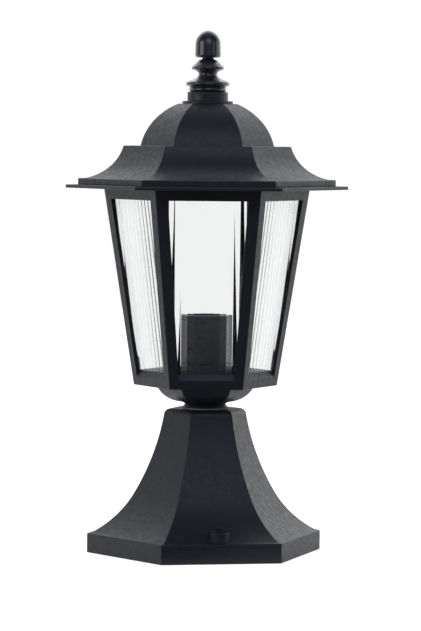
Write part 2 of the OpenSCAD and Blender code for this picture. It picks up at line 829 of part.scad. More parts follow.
module at_block_screws() {
    for (side = [-1, 1]) for (z = [block_screw_z, block_h - block_screw_z])
        translate([side * pole_x, block_y, block_z + z]) rotate([-90, 0, 0]) children();
}

module terminal_screws() {
    steel() head() at_block_screws() translate([0, 0, block_screw_sink]) difference() {
        cylinder(r = block_screw_r, h = block_screw_h);
        cube([3 * block_screw_r, slot_w, 2 * slot_d], center = true);
    }
}

module cord_clamp() {
    black_plastic() head() difference() {
        translate([-bracket_w / 2, leg_y - clamp_d, clamp_z - clamp_h / 2])
            cube([bracket_w, clamp_d, clamp_h]);
        translate([0, leg_y, clamp_z]) cylinder(r = cable_r, h = clamp_h + 2 * past, center = true);
        for (side = [-1, 1]) translate([side * clamp_screw_x, leg_y, clamp_z]) rotate([90, 0, 0])
            cylinder(r = clamp_screw_r + 2 * holder_play, h = 2 * clamp_d + 2 * past, center = true);
    }
}

module clamp_screws() {
    steel() head() for (side = [-1, 1])
        translate([side * clamp_screw_x, leg_y - clamp_d - clamp_head_h, clamp_z]) rotate([-90, 0, 0])
            difference() {
                union() {
                    cylinder(r = clamp_head_r, h = clamp_head_h);
                    translate([0, 0, clamp_head_h - small])
                        cylinder(r = clamp_screw_r, h = clamp_d + bracket_t + 1.5);
                }
                cube([3 * clamp_head_r, slot_w, 2 * slot_d], center = true);
            }
}

// Two wires run from the lampholder's terminals through the nipple to the block
module wire(side) {
    route = [
        [terminal_x, 0, insert_foot_z - 0.7],
        [terminal_x - 0.6, 0, nipple_top_z + 4.2],
        [wire_x + 4.2, 0, nipple_top_z + 3.2],
        [wire_x + 1.4, 0, nipple_top_z + 1.8],
        [wire_x, 0, nipple_top_z - 2],
        [wire_x, 0, nipple_z + 1],
        [wire_x + 0.6, 0.8, nipple_z - 1.5],
        [pole_x, pole_y, block_z + block_h + 2],
        [pole_x, pole_y, block_z + block_h - 6]];
    head() for (i = [0:len(route) - 2]) hull() for (end = [route[i], route[i + 1]])
        translate([side * end[0], end[1], end[2]]) sphere(wire_r, $fn = wire_facets);
}

module wire_live() {
    color([0.45, 0.26, 0.14]) wire(1);
}

module wire_neutral() {
    color([0.16, 0.3, 0.62]) wire(-1);
}

pedestal();
neck_gasket();
neck_collar();
lantern_body();
pane_front();
pane_front_right();
pane_back_right();
pane_back();
pane_back_left();
pane_front_left();
roof();
finial();
finial_screw();
holder_cap();
holder_skirt();
holder_insert();
screw_shell();
centre_contact();
holder_terminals();
nipple();
lock_nuts();
washers();
terminal_bracket();
terminal_block();
terminal_screws();
cord_clamp();
clamp_screws();
wire_live();
wire_neutral();
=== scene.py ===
"""Looks of a six-sided pedestal garden lantern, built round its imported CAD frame.

The scene is in metres with +Z up, as the frame is. Shapes are drawn in millimetres and degrees.
"""

import json
from math import acos, asin, atan, cos, degrees, pi, radians, sin, sqrt, tan

import bmesh
import bpy
from mathutils import Matrix, Vector


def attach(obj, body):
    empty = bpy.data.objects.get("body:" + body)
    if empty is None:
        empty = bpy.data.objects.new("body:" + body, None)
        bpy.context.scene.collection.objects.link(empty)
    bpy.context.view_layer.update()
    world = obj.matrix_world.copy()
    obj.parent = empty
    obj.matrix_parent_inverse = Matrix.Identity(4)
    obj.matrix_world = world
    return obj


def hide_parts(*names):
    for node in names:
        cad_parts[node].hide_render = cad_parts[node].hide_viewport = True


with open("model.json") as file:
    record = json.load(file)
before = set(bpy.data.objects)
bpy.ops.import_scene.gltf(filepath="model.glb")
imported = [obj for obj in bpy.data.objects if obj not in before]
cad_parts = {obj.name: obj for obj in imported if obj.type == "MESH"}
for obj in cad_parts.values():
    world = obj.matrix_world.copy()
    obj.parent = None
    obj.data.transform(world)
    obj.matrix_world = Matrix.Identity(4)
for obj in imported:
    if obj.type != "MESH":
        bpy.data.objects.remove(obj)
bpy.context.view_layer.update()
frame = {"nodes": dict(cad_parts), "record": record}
MM = 0.001
HEAD_TURN = -8.8  # how far round the head rests on the foot


def link_object(name, data):
    ob = bpy.data.objects.new(name, data)
    bpy.context.scene.collection.objects.link(ob)
    return ob


# Camera: fitted to the photograph's straight edges, seen from the pedestal's front

CAMERA_TURN = -9.71
CAMERA_AT = (3.60, -2473.0, 330.2)  # before the turn, in millimetres
CAMERA_PITCH = 3.31
CAMERA_ROLL = 0.48
FOCAL_PX = 3130.0
FRAME_PX = 631.0
SENSOR_MM = 36.0
CLIP_NEAR, CLIP_FAR = 0.05, 30.0


def make_camera():
    data = bpy.data.cameras.new("camera")
    data.sensor_width = SENSOR_MM
    data.lens = FOCAL_PX * data.sensor_width / FRAME_PX
    data.clip_start = CLIP_NEAR
    data.clip_end = CLIP_FAR
    cam = link_object("camera", data)
    p, r = radians(CAMERA_PITCH), radians(CAMERA_ROLL)
    right, forward = Vector((1, 0, 0)), Vector((0, cos(p), -sin(p)))
    up = Vector((0, sin(p), cos(p)))
    cam_right = right * cos(r) + up * sin(r)
    cam_up = up * cos(r) - right * sin(r)
    turn = Matrix.Rotation(radians(CAMERA_TURN), 4, "Z")
    axes = Matrix((cam_right, cam_up, -forward)).transposed().to_4x4()
    cam.matrix_world = turn @ Matrix.Translation(Vector(CAMERA_AT) * MM) @ axes
    bpy.context.scene.camera = cam


make_camera()
bpy.context.scene.view_settings.view_transform = "Standard"

# Mesh helpers, all in millimetres

SHARP = 35.0  # edges bent by more degrees than this stay sharp
ON_AXIS = 1e-6  # a ring smaller than this is one point on the axis
CORNER_STEPS = 4  # steps round each corner of a six-sided form
MAX_REACH = 0.49  # share of an outline's side that one rounded corner may take
PAST = 1.0  # how far a cutter reaches past what it cuts


def clamp(value, low=0.0, high=1.0):
    return max(low, min(high, value))


def add_object(name, bm, sharp=SHARP):
    """A mesh object from a bmesh in millimetres, smooth apart from its sharp edges."""
    bmesh.ops.scale(bm, vec=(MM, MM, MM), verts=bm.verts)
    bmesh.ops.recalc_face_normals(bm, faces=bm.faces)
    mesh = bpy.data.meshes.new(name)
    bm.to_mesh(mesh)
    bm.free()
    ob = link_object(name, mesh)
    smooth(ob, sharp)
    return ob


def smooth(ob, sharp=SHARP):
    for poly in ob.data.polygons:
        poly.use_smooth = True
    ob.data.set_sharp_from_angle(angle=radians(sharp))
    normals = ob.modifiers.new("normals", "WEIGHTED_NORMAL")
    normals.keep_sharp = True
    normals.weight = 100


def arc(x, z, r, start, end, steps):
    """Points along an arc from one angle to another, in degrees."""
    angles = [radians(start + (end - start) * i / steps) for i in range(steps + 1)]
    return [(x + r * cos(a), z + r * sin(a)) for a in angles]


def rounded(points, steps=4):
    """An outline of (x, z) or (x, z, radius): the corners that give a radius are rounded."""
    out = []
    for i, (x, z, *radius) in enumerate(points):
        if not radius:
            out.append((x, z))
            continue
        here = Vector((x, z))
        to_last = Vector(points[i - 1][:2]) - here
        to_next = Vector(points[i + 1][:2]) - here
        a, b = to_last.normalized(), to_next.normalized()
        half = acos(clamp(a.dot(b), -1.0)) / 2
        longest = MAX_REACH * min(to_last.length, to_next.length)
        reach = min(radius[0] / tan(half), longest)
        r = reach * tan(half)
        centre = here + (a + b).normalized() * (r / sin(half))
        start, end = here + a * reach - centre, here + b * reach - centre
        for k in range(steps + 1):
            t = k / steps
            spoke = (start * (1 - t) + end * t).normalized() * r
            out.append(tuple(centre + spoke))
    return out


def curve(points, steps):
    """A smooth curve through points, with its ends included."""
    points = [tuple(2 * a - b for a, b in zip(points[0], points[1])), *points,
              tuple(2 * a - b for a, b in zip(points[-1], points[-2]))]
    out = []
    for p, q, r, s in zip(points, points[1:], points[2:], points[3:]):
        for k in range(steps):
            t = k / steps
            out.append(tuple(0.5 * (2 * b + (c - a) * t + (2 * a - 5 * b + 4 * c - d) * t ** 2
                                    + (3 * b - a - 3 * c + d) * t ** 3)
                             for a, b, c, d in zip(p, q, r, s)))
    return out + [points[-2]]


def hex_ring(half, corner_r, turn):
    """One level of a six-sided form: flats at half from the axis, corners rounded."""
    corner = (half - corner_r) / cos(pi / 6)
    ring = []
    for k in range(6):
        middle = radians(60 * k + turn)
        for s in range(CORNER_STEPS + 1):
            a = middle + radians(-30 + 60 * s / CORNER_STEPS)
            ring.append((corner * cos(middle) + corner_r * cos(a),
                         corner * sin(middle) + corner_r * sin(a)))
    return ring


def round_ring(r, count):
    return [(r * cos(2 * pi * i / count), r * sin(2 * pi * i / count)) for i in range(count)]


def bridge(bm, low, high):
    """Four-sided faces between two rings of the same count."""
    for i in range(len(low)):
        j = (i + 1) % len(low)
        bm.faces.new((low[i], low[j], high[j], high[i]))


def fan(bm, ring, point):
    """Triangles between a ring and a point on the axis."""
    for i in range(len(ring)):
        bm.faces.new((ring[i], ring[(i + 1) % len(ring)], point))


def loft(outline, ring_of, closed=False):
    """A bmesh lofted through rings: outline gives (size, z); a size of 0 closes it on the axis."""
    bm = bmesh.new()
    rings = []
    for size, z in outline:
        ring = ring_of(size) if size > ON_AXIS else [(0, 0)]
        rings.append([bm.verts.new((x, y, z)) for x, y in ring])
    for low, high in zip(rings, rings[1:] + rings[:1] if closed else rings[1:]):
        if len(low) == 1:
            fan(bm, high, low[0])
        elif len(high) == 1:
            fan(bm, low, high[0])
        else:
            bridge(bm, low, high)
    if not closed:
        for ring in (rings[0], rings[-1]):
            if len(ring) > 1:
                bm.faces.new(ring)
    return bm


def hex_loft(outline, corner_r, turn=0.0, closed=False):
    return loft(outline, lambda half: hex_ring(half, corner_r, turn), closed)


def lathe(outline, count, closed=False):
    return loft(outline, lambda r: round_ring(r, count), closed)


def cylinder(r, low, high, count):
    return lathe([(0, low), (r, low), (r, high), (0, high)], count)


def slices(bm, outline_at, count):
    """Adds a solid of revolution whose closed (r, z) outline may change with the angle."""
    rings = []
    for i in range(count):
        a = 2 * pi * i / count
        rings.append([bm.verts.new((r * cos(a), r * sin(a), z)) for r, z in outline_at(a)])
    for here, there in zip(rings, rings[1:] + rings[:1]):
        bridge(bm, here, there)
    return bm


def stack(bm, rings):
    """Adds a solid through a row of rings of vertices, closed at both ends."""
    for near, far in zip(rings, rings[1:]):
        bridge(bm, near, far)
    bm.faces.new(rings[0])
    bm.faces.new(rings[-1])


def boolean(ob, bm, operation):
    """Joins a bmesh in millimetres to an object, or cuts it out, and applies the result."""
    other = add_object("cutter", bm)
    other.modifiers.clear()
    ob.modifiers.clear()
    mod = ob.modifiers.new("boolean", "BOOLEAN")
    mod.object = other
    mod.operation = operation
    mod.solver = "EXACT"
    graph = bpy.context.evaluated_depsgraph_get()
    result = bpy.data.meshes.new_from_object(ob.evaluated_get(graph))
    ob.modifiers.clear()
    used_up = ob.data, other.data
    ob.data = result
    bpy.data.objects.remove(other)
    for mesh in used_up:
        bpy.data.meshes.remove(mesh)
    smooth(ob)


# Materials


def new_material(name, **values):
    """A Principled material; values are constants for its sockets, with _ for a space."""
    mat = bpy.data.materials.new(name)
    mat.use_nodes = True
    shader = mat.node_tree.nodes["Principled BSDF"]
    for key, value in values.items():
        shader.inputs[key.replace("_", " ")].default_value = value
    return mat, mat.node_tree, shader


def noise(tree, scale, detail=3.0, roughness=0.5):
    """The value of a noise texture on the object's own coordinates."""
    coords = tree.nodes.new("ShaderNodeTexCoord")
    node = tree.nodes.new("ShaderNodeTexNoise")
    node.inputs["Scale"].default_value = scale
    node.inputs["Detail"].default_value = detail
    node.inputs["Roughness"].default_value = roughness
    tree.links.new(coords.outputs["Object"], node.inputs["Vector"])
    return node.outputs["Fac"]


def ramp(tree, source, stops, target):
    """Runs a value through two colour stops into a socket."""
    node = tree.nodes.new("ShaderNodeValToRGB")
    for element, (place, colour) in zip(node.color_ramp.elements, stops):
        element.position = place
        element.color = colour
    tree.links.new(source, node.inputs["Fac"])
    tree.links.new(node.outputs["Color"], target)
    return node


def grey(v):
    return (v, v, v, 1.0)


def bump(tree, shader, height, strength, distance):
    node = tree.nodes.new("ShaderNodeBump")
    node.inputs["Strength"].default_value = strength
    node.inputs["Distance"].default_value = distance
    tree.links.new(height, node.inputs["Height"])
    tree.links.new(node.outputs["Normal"], shader.inputs["Normal"])


def mix_shaders(tree, factor, first, second):
    mix = tree.nodes.new("ShaderNodeMixShader")
    tree.links.new(factor, mix.inputs["Fac"])
    tree.links.new(first, mix.inputs[1])
    tree.links.new(second, mix.inputs[2])
    return mix.outputs["Shader"]


def plastic(name, base, light, rough, grain=1.0, coat=0.0):
    """Moulded plastic: spark-eroded pores, mottled gloss, flow clouds and a trace of dust."""
    mat, tree, shader = new_material(name, IOR=1.5, Coat_Weight=coat, Coat_Roughness=0.24)
    mix = tree.nodes.new("ShaderNodeMixRGB")
    mix.inputs["Fac"].default_value = 0.35
    cloud = noise(tree, scale=18.0, detail=4.0, roughness=0.6)
    ramp(tree, cloud, [(0.3, base), (0.75, light)], mix.inputs["Color1"])
    dust = noise(tree, scale=2600.0, detail=2.0, roughness=0.6)
    ramp(tree, dust, [(0.35, base), (0.8, light)], mix.inputs["Color2"])
    tree.links.new(mix.outputs["Color"], shader.inputs["Base Color"])
    mottle = noise(tree, scale=260.0, detail=6.0, roughness=0.75)
    shine = [(0.36, grey(rough[0])), (0.64, grey(rough[1]))]
    ramp(tree, mottle, shine, shader.inputs["Roughness"])
    pores = noise(tree, scale=1500.0, detail=3.0, roughness=0.55)
    bump(tree, shader, pores, strength=0.4 * grain, distance=0.0002)
    return mat


def metal(name, base, light, rough):
    """Bare or plated metal with cloudy tarnish and fine wear."""
    mat, tree, shader = new_material(name, Metallic=1.0)
    cloud = noise(tree, scale=90.0, detail=4.0, roughness=0.6)
    ramp(tree, cloud, [(0.3, base), (0.7, light)], shader.inputs["Base Color"])
    wear = noise(tree, scale=900.0, roughness=0.6)
    shine = [(0.3, grey(rough[0])), (0.7, grey(rough[1]))]
    ramp(tree, wear, shine, shader.inputs["Roughness"])
    bump(tree, shader, wear, strength=0.1, distance=0.0001)
    return mat


def plain(name, base, light, rough):
    """Rubber, ceramic and smooth plastic: one gloss, slight clouds and a fine skin."""
    mat, tree, shader = new_material(name, Roughness=rough, IOR=1.48)
    cloud = noise(tree, scale=120.0)
    ramp(tree, cloud, [(0.3, base), (0.75, light)], shader.inputs["Base Color"])
    bump(tree, shader, noise(tree, scale=1200.0), strength=0.12, distance=0.0001)
    return mat


def clear(name, tint, shade):
    """Clear moulded plastic; rays from lamps pass so that what is behind it is lit."""
    mat, tree, shader = new_material(name, IOR=1.44, Roughness=0.02, Base_Color=tint,
                                     Transmission_Weight=1.0)
    bump(tree, shader, noise(tree, scale=30.0, detail=2.0), strength=0.015, distance=0.0006)
    passing = tree.nodes.new("ShaderNodeBsdfTransparent")
    passing.inputs["Color"].default_value = shade
    path = tree.nodes.new("ShaderNodeLightPath")
    surface = mix_shaders(tree, path.outputs["Is Shadow Ray"], shader.outputs["BSDF"],
                          passing.outputs["BSDF"])
    tree.links.new(surface, tree.nodes["Material Output"].inputs["Surface"])
    return mat


FINISH = {
    "black_plastic": plastic("black_moulding", (0.005, 0.0066, 0.0125, 1),
                             (0.009, 0.0117, 0.020, 1), rough=(0.36, 0.56)),
    "gloss_black": plastic("gloss_moulding", (0.009, 0.010, 0.0145, 1),
                           (0.015, 0.0165, 0.023, 1), rough=(0.24, 0.34), grain=0.4, coat=0.72),
    # Painted light: the lampholder's black moulding is given a colour far lighter than the other
    # black mouldings, to stand in for the light that reaches it through the panes
    "holder_black": plastic("holder_moulding_painted_light", (0.045, 0.046, 0.051, 1),
                            (0.06, 0.0615, 0.068, 1), rough=(0.26, 0.34), grain=0.15),
    "clear_plastic": clear("clear_moulding", (0.995, 0.998, 1.0, 1), (0.93, 0.94, 0.945, 1)),
    "gasket_rubber": plain("gasket_rubber", (0.22, 0.2, 0.165, 1), (0.3, 0.275, 0.23, 1), 0.7),
    "zinc_steel": metal("zinc_plate", (0.5, 0.51, 0.53, 1), (0.62, 0.63, 0.65, 1), (0.28, 0.42)),
    "brass": metal("brass", (0.66, 0.47, 0.22, 1), (0.8, 0.6, 0.3, 1), (0.22, 0.38)),
    "ceramic_white": plain("white_ceramic", (0.74, 0.73, 0.69, 1), (0.82, 0.81, 0.78, 1), 0.3),
    "block_white": plain("block_plastic", (0.76, 0.76, 0.72, 1), (0.84, 0.84, 0.81, 1), 0.42),
    "wire_brown": plain("brown_sleeve", (0.12, 0.05, 0.025, 1), (0.17, 0.075, 0.035, 1), 0.38),
    "wire_blue": plain("blue_sleeve", (0.03, 0.09, 0.32, 1), (0.05, 0.13, 0.42, 1), 0.38),
}
SLOTS = {part["node"]: part["material_slot"] for part in frame["record"]["subparts"]}


def finish_piece(ob, body, node):
    """Puts a piece on its body in a frame node's place, in that node's slot and finish."""
    slot = SLOTS[node]
    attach(ob, body)
    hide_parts(node)
    ob.data.materials.clear()
    ob.data.materials.append(FINISH[slot])


def add_piece(name, bm, body, node, sharp=SHARP):
    """A finished piece from a bmesh in millimetres."""
    finish_piece(add_object(name, bm, sharp), body, node)


# Pedestal

PLINTH_HALF, PLINTH_H = 81.4, 15.5
PEDESTAL_H, PEDESTAL_WALL, PEDESTAL_TOP_T = 113.7, 2.6, 3.5
CEILING_Z = PEDESTAL_H - PEDESTAL_TOP_T
# The flare's two arcs meet at the waist with this lean
WAIST_HALF, WAIST_Z, WAIST_LEAN = 49.0, 47.0, 27.2
UPPER_R, LOWER_R = 205.0, 78.0
SHOULDER_R, SHOULDER_START = 5.0, 12
PLINTH_FOOT_EDGE, PLINTH_TOP_EDGE, FLARE_STEP, FLARE_EDGE = 0.6, 0.9, 0.3, 0.4
PEDESTAL_CORNER_R, INNER_CORNER_R = 1.3, 0.8
# Screw wells, set back from the plinth's faces
WELL_R, WELL_WALL, WELL_TOP, WELL_FLOOR, WELL_SHY = 8.3, 1.7, 24.0, 4.0, 1.1
WELL_RIM, WELL_CHAMFER, WELL_FILLET, WELL_COUNT = 0.7, 0.6, 0.4, 2
FIXING_R, FIXING_CIRCLE = 2.75, PLINTH_HALF - WELL_SHY - WELL_R
CLEAR_OF_FLARE = 60  # a height at which the flare is inside the wells' places
BORE_R = 5.3  # round the nipple


def hollow_angle(centre_z, r, z):
    """Where a circle's side nearest the axis is at a height, in degrees."""
    return 180 + degrees(asin((centre_z - z) / r))


def flare(wall, foot_z, top_z):
    """The flare's two arcs, set in by the wall, from one height to another."""
    lean = radians(WAIST_LEAN)
    ux, uz = WAIST_HALF + UPPER_R * cos(lean), WAIST_Z + UPPER_R * sin(lean)
    lx, lz = WAIST_HALF + LOWER_R * cos(lean), WAIST_Z + LOWER_R * sin(lean)
    upper_r, lower_r = UPPER_R + wall, LOWER_R + wall
    waist = 180 + WAIST_LEAN
    low = arc(lx, lz, lower_r, hollow_angle(lz, lower_r, foot_z), waist, steps=28)
    high = arc(ux, uz, upper_r, waist, hollow_angle(uz, upper_r, top_z), steps=24)
    return low + high[1:]


def add_wells(ob):
    """Joins the screw wells to the pedestal and bores them."""
    turns = [radians(360 / WELL_COUNT * k - 90) for k in range(WELL_COUNT)]
    places = [(FIXING_CIRCLE * cos(a), FIXING_CIRCLE * sin(a), 0) for a in turns]
    bore_r = WELL_R - WELL_WALL
    mouth_r = bore_r + WELL_CHAMFER
    well = rounded([(0, 0), (WELL_R, 0), (WELL_R, WELL_TOP, WELL_RIM), (0, WELL_TOP)])
    bore = rounded([(0, WELL_FLOOR), (bore_r, WELL_FLOOR, WELL_FILLET),
                    (bore_r, WELL_TOP - WELL_CHAMFER), (mouth_r, WELL_TOP),
                    (mouth_r, CLEAR_OF_FLARE), (0, CLEAR_OF_FLARE)])

    def apply(bm, place, operation):
        bmesh.ops.translate(bm, vec=place, verts=bm.verts)
        boolean(ob, bm, operation)

    for place in places:
        apply(lathe(well, count=48), place, "UNION")
    for place in places:
        apply(lathe(bore, count=48), place, "DIFFERENCE")
        hole = cylinder(FIXING_R, -PAST, WELL_FLOOR + PAST, count=32)
        apply(hole, place, "DIFFERENCE")


def make_pedestal():
    side = flare(0, PLINTH_H, PEDESTAL_H - SHOULDER_R)
    foot_half, top_half = side[0][0], side[-1][0]
    outline = rounded([(0, 0), (PLINTH_HALF, 0, PLINTH_FOOT_EDGE),
                       (PLINTH_HALF, PLINTH_H, PLINTH_TOP_EDGE),
                       (foot_half + FLARE_STEP, PLINTH_H, FLARE_EDGE), side[1]])[1:]
    outline += side[2:]
    outline += arc(top_half - SHOULDER_R, PEDESTAL_H - SHOULDER_R, SHOULDER_R, SHOULDER_START,
                   90, steps=8)
    outline.append((0, PEDESTAL_H))
    ob = add_object("pedestal_shell", hex_loft(outline, PEDESTAL_CORNER_R))
    foot_z, half = PLINTH_H - PEDESTAL_WALL, PLINTH_HALF - PEDESTAL_WALL
    hollow = [(half, -PAST), (half, foot_z), *flare(PEDESTAL_WALL, foot_z, CEILING_Z),
              (0, CEILING_Z)]
    boolean(ob, hex_loft(hollow, INNER_CORNER_R), "DIFFERENCE")
    add_wells(ob)
    neck_bore = cylinder(BORE_R, CEILING_Z - PAST, PEDESTAL_H + PAST, count=40)
    boolean(ob, neck_bore, "DIFFERENCE")
    finish_piece(ob, "pedestal", "pedestal")


make_pedestal()

# Neck: a gasket and a collar that turns on it

COLLAR_Z, NECK_Z, BOWL_Z, TURN_PLAY = 114.5, 117.4, 118.8, 0.03
GASKET_R, GASKET_SHY, GASKET_BEVEL = 18.3, 0.4, 0.1
COLLAR_R, NECK_R, COLLAR_EDGE, NECK_EDGE = 18.0, 16.0, 0.4, 0.2


def make_neck():
    face_r = GASKET_R - GASKET_SHY
    ring = [(BORE_R, PEDESTAL_H), (face_r, PEDESTAL_H), (GASKET_R, PEDESTAL_H + GASKET_BEVEL),
            (GASKET_R, COLLAR_Z - GASKET_BEVEL), (face_r, COLLAR_Z), (BORE_R, COLLAR_Z)]
    gasket = lathe(ring, count=72, closed=True)
    add_piece("gasket_ring", gasket, "pedestal", "neck_gasket")
    foot = COLLAR_Z + TURN_PLAY
    cone = rounded([(BORE_R, foot), (COLLAR_R, foot, COLLAR_EDGE), (NECK_R, NECK_Z, NECK_EDGE),
                    (BORE_R, NECK_Z)])
    add_piece("collar_ring", lathe(cone, count=72, closed=True), "head", "neck_collar")


make_neck()

# Lantern body: bowl, leaning cage and flange

CAGE_Z, CAGE_H, CAGE_FOOT, CAGE_HEAD = 132.0, 155.4, 49.2, 70.5
FLANGE_Z, ROOF_Z, FLANGE_HALF = CAGE_Z + CAGE_H, 290.0, 96.8
CAGE_SLOPE = (CAGE_HEAD - CAGE_FOOT) / CAGE_H
CAGE_LEAN = atan(CAGE_SLOPE)
BOWL_FLAT, BOWL_R, BOWL_WALL, FLOOR_Z = 15.7, 18.8, 2.4, 134.5
SEAT_R, SEAT_Z, NECK_TOP_R = 11.0, 122.7, 18.4
LIP_T, RAIL_TOP, SILL_Z, WINDOW_TOP = 3.0, 139.2, 143.7, 279.0
POCKET_Z, POCKET_LIP, POCKET_LIP_Z, POCKET_INSET = 138.0, 1.6, 142.0, 6.68
POST_FOOT, POST_TOP = 7.5, 9.2
RIB_T, RIB_REACH, RIB_SHY, RIB_TOP_PLAY = 1.4, 7.27, 1.0, 0.05
EDGE_R, BOWL_EDGE, RAIL_EDGE, HEADER_EDGE, SEAT_EDGE = 0.5, 0.5, 0.7, 0.3, 0.4
MOULDING_CORNER_R = 1.2
JOIN = 0.01  # how far joined solids reach into each other
# Depths of a window cutter's rings behind the face: they round the edge and keep off every face
WINDOW_DEPTHS = (-2.0, -0.03, 0.04, 0.12, 0.25, EDGE_R, LIP_T + 0.02, 2 * LIP_T)


def face_half(z):
    """How far the cage's faces stand from the axis at a height."""
    return CAGE_FOOT + CAGE_SLOPE * (z - CAGE_Z)


def inset(t):
    """A thickness square to the leaning face, measured level."""
    return t / cos(CAGE_LEAN)


def leaning(t, z):
    """A point of the cage's section, a thickness behind its face."""
    return face_half(z) - inset(t), z


def side_turn(side):
    return Matrix.Rotation(radians(HEAD_TURN + 60 * side), 4, "Z")


def bowl_side(wall, top):
    z, r = BOWL_Z + BOWL_R, BOWL_R - wall
    return arc(BOWL_FLAT, z, r, -90, degrees(asin((top - z) / r)), steps=14)


def window_half(z):
    post = POST_FOOT + (POST_TOP - POST_FOOT) * (z - RAIL_TOP) / (WINDOW_TOP - RAIL_TOP)
    return face_half(z) * tan(pi / 6) - post


def window_cutter(side):
    """A window's cutter: it leans with the face, slopes at the sill and flares at the edge."""
    bm = bmesh.new()
    turn = side_turn(side)
    rings = []
    for depth in WINDOW_DEPTHS:
        wide = EDGE_R - sqrt(EDGE_R ** 2 - (EDGE_R - clamp(depth, 0.0, EDGE_R)) ** 2)
        sill = RAIL_TOP + (SILL_Z - RAIL_TOP) * clamp(depth / LIP_T)
        low, high = (window_half(sill), sill), (window_half(WINDOW_TOP), WINDOW_TOP)
        corners = [(-low[0] - wide, sill - wide), (low[0] + wide, sill - wide),
                   (high[0] + wide, WINDOW_TOP + wide), (-high[0] - wide, WINDOW_TOP + wide)]
        rings.append([bm.verts.new(turn @ Vector((u, inset(depth) - face_half(z), z)))
                      for u, z in corners])
    stack(bm, rings)
    return bm


def rib(side):
    """The rib down the inside of a corner post."""
    bm = bmesh.new()
    turn = side_turn(side)
    low, high = FLOOR_Z - JOIN, ROOF_Z - RIB_TOP_PLAY
    corner_low, corner_high = face_half(FLOOR_Z) / cos(pi / 6), face_half(ROOF_Z) / cos(pi / 6)
    outline = [(corner_low - RIB_REACH, low), (corner_low - RIB_SHY, low),
               (corner_high - RIB_SHY, high), (corner_high - RIB_REACH, high)]
    stack(bm, [[bm.verts.new(turn @ Vector((x, y, z))) for x, z in outline]
               for y in (-RIB_T / 2, RIB_T / 2)])
    return bm


def make_body():
    bowl = bowl_side(0, CAGE_Z)
    cage = rounded([bowl[-2], (*bowl[-1], BOWL_EDGE), (*leaning(0, CAGE_Z), RAIL_EDGE),
                    (*leaning(0, FLANGE_Z), HEADER_EDGE), (FLANGE_HALF, FLANGE_Z, EDGE_R),
                    (FLANGE_HALF, ROOF_Z, EDGE_R), (0, ROOF_Z)])
    outside = [(0, BOWL_Z), *bowl[:-1], *cage[1:]]
    ob = add_object("lantern_moulding", hex_loft(outside, MOULDING_CORNER_R, HEAD_TURN))
    wall = POCKET_INSET + POCKET_LIP
    inside = [(0, BOWL_Z + BOWL_WALL), *bowl_side(BOWL_WALL, FLOOR_Z), leaning(wall, FLOOR_Z),
              leaning(wall, POCKET_LIP_Z), leaning(POCKET_INSET, POCKET_LIP_Z),
              leaning(POCKET_INSET, POCKET_Z), leaning(LIP_T, POCKET_Z),
              leaning(LIP_T, ROOF_Z + PAST), (0, ROOF_Z + PAST)]
    boolean(ob, hex_loft(inside, INNER_CORNER_R, HEAD_TURN), "DIFFERENCE")
    for side in range(6):
        boolean(ob, window_cutter(side), "DIFFERENCE")
    for side in range(6):
        boolean(ob, rib(side), "UNION")
    neck = rounded([(0, NECK_Z), (NECK_R, NECK_Z, NECK_EDGE), (NECK_TOP_R, BOWL_Z + JOIN),
                    (SEAT_R, BOWL_Z + JOIN), (SEAT_R, SEAT_Z, SEAT_EDGE), (0, SEAT_Z)])
    boolean(ob, lathe(neck, count=72), "UNION")
    neck_bore = cylinder(BORE_R, NECK_Z - PAST, SEAT_Z + PAST, count=48)
    boolean(ob, neck_bore, "DIFFERENCE")
    finish_piece(ob, "head", "lantern_body")


make_body()

# Panes, reeded on the outside

PANE_T, REED_H, REED_PITCH, REED_COUNT, REED_STEPS = 3.0, 0.18, 5.0, 8, 10
PANE_INSET, PANE_FULL, PANE_GAP, PANE_TOP = 3.25, PANE_T + REED_H, 1.6, 286.5
PANES = ("pane_front", "pane_front_right", "pane_back_right", "pane_back", "pane_back_left",
         "pane_front_left")


def pane_half(z):
    return (face_half(z) - inset(PANE_INSET + PANE_FULL)) * tan(pi / 6) - PANE_GAP


def pane_section():
    """A strip's section, reeds to the front, wide enough to cut a pane from."""
    reed_r = ((REED_PITCH / 2) ** 2 + REED_H ** 2) / (2 * REED_H)
    spread = degrees(asin(REED_PITCH / 2 / reed_r))
    section = []
    for i in range(-REED_COUNT, REED_COUNT):
        reed = arc((i + 0.5) * REED_PITCH, reed_r, reed_r, -90 - spread, -90 + spread, REED_STEPS)
        section += reed if i == -REED_COUNT else reed[1:]
    wide = REED_COUNT * REED_PITCH
    return section + [(wide, PANE_FULL), (-wide, PANE_FULL)]


def make_pane(side, node):
    length = (PANE_TOP - POCKET_Z) / cos(CAGE_LEAN)
    bm = bmesh.new()
    stack(bm, [[bm.verts.new((x, y + PANE_INSET, z)) for x, y in pane_section()]
               for z in (0, length)])
    foot, head = pane_half(POCKET_Z), pane_half(PANE_TOP)
    slope = Vector((length, 0, foot - head)).normalized()
    for sign in (1, -1):
        cut = bmesh.ops.bisect_plane(bm, geom=bm.verts[:] + bm.edges[:] + bm.faces[:], dist=1e-5,
                                     plane_co=(sign * foot, 0, 0),
                                     plane_no=(sign * slope.x, 0, slope.z), clear_outer=True)
        border = [e for e in cut["geom_cut"] if isinstance(e, bmesh.types.BMEdge)]
        bmesh.ops.edgeloop_fill(bm, edges=border)
    place = (side_turn(side) @ Matrix.Translation((0, -face_half(POCKET_Z), POCKET_Z))
             @ Matrix.Rotation(CAGE_LEAN, 4, "X"))
    bmesh.ops.transform(bm, matrix=place, verts=bm.verts)
    add_piece("reeded_" + node, bm, "head", node, sharp=30)


for side, node in enumerate(PANES):
    make_pane(side, node)

# Roof: lip, hollow-sided skirt, dome, disc and cap, with a locating ring under it

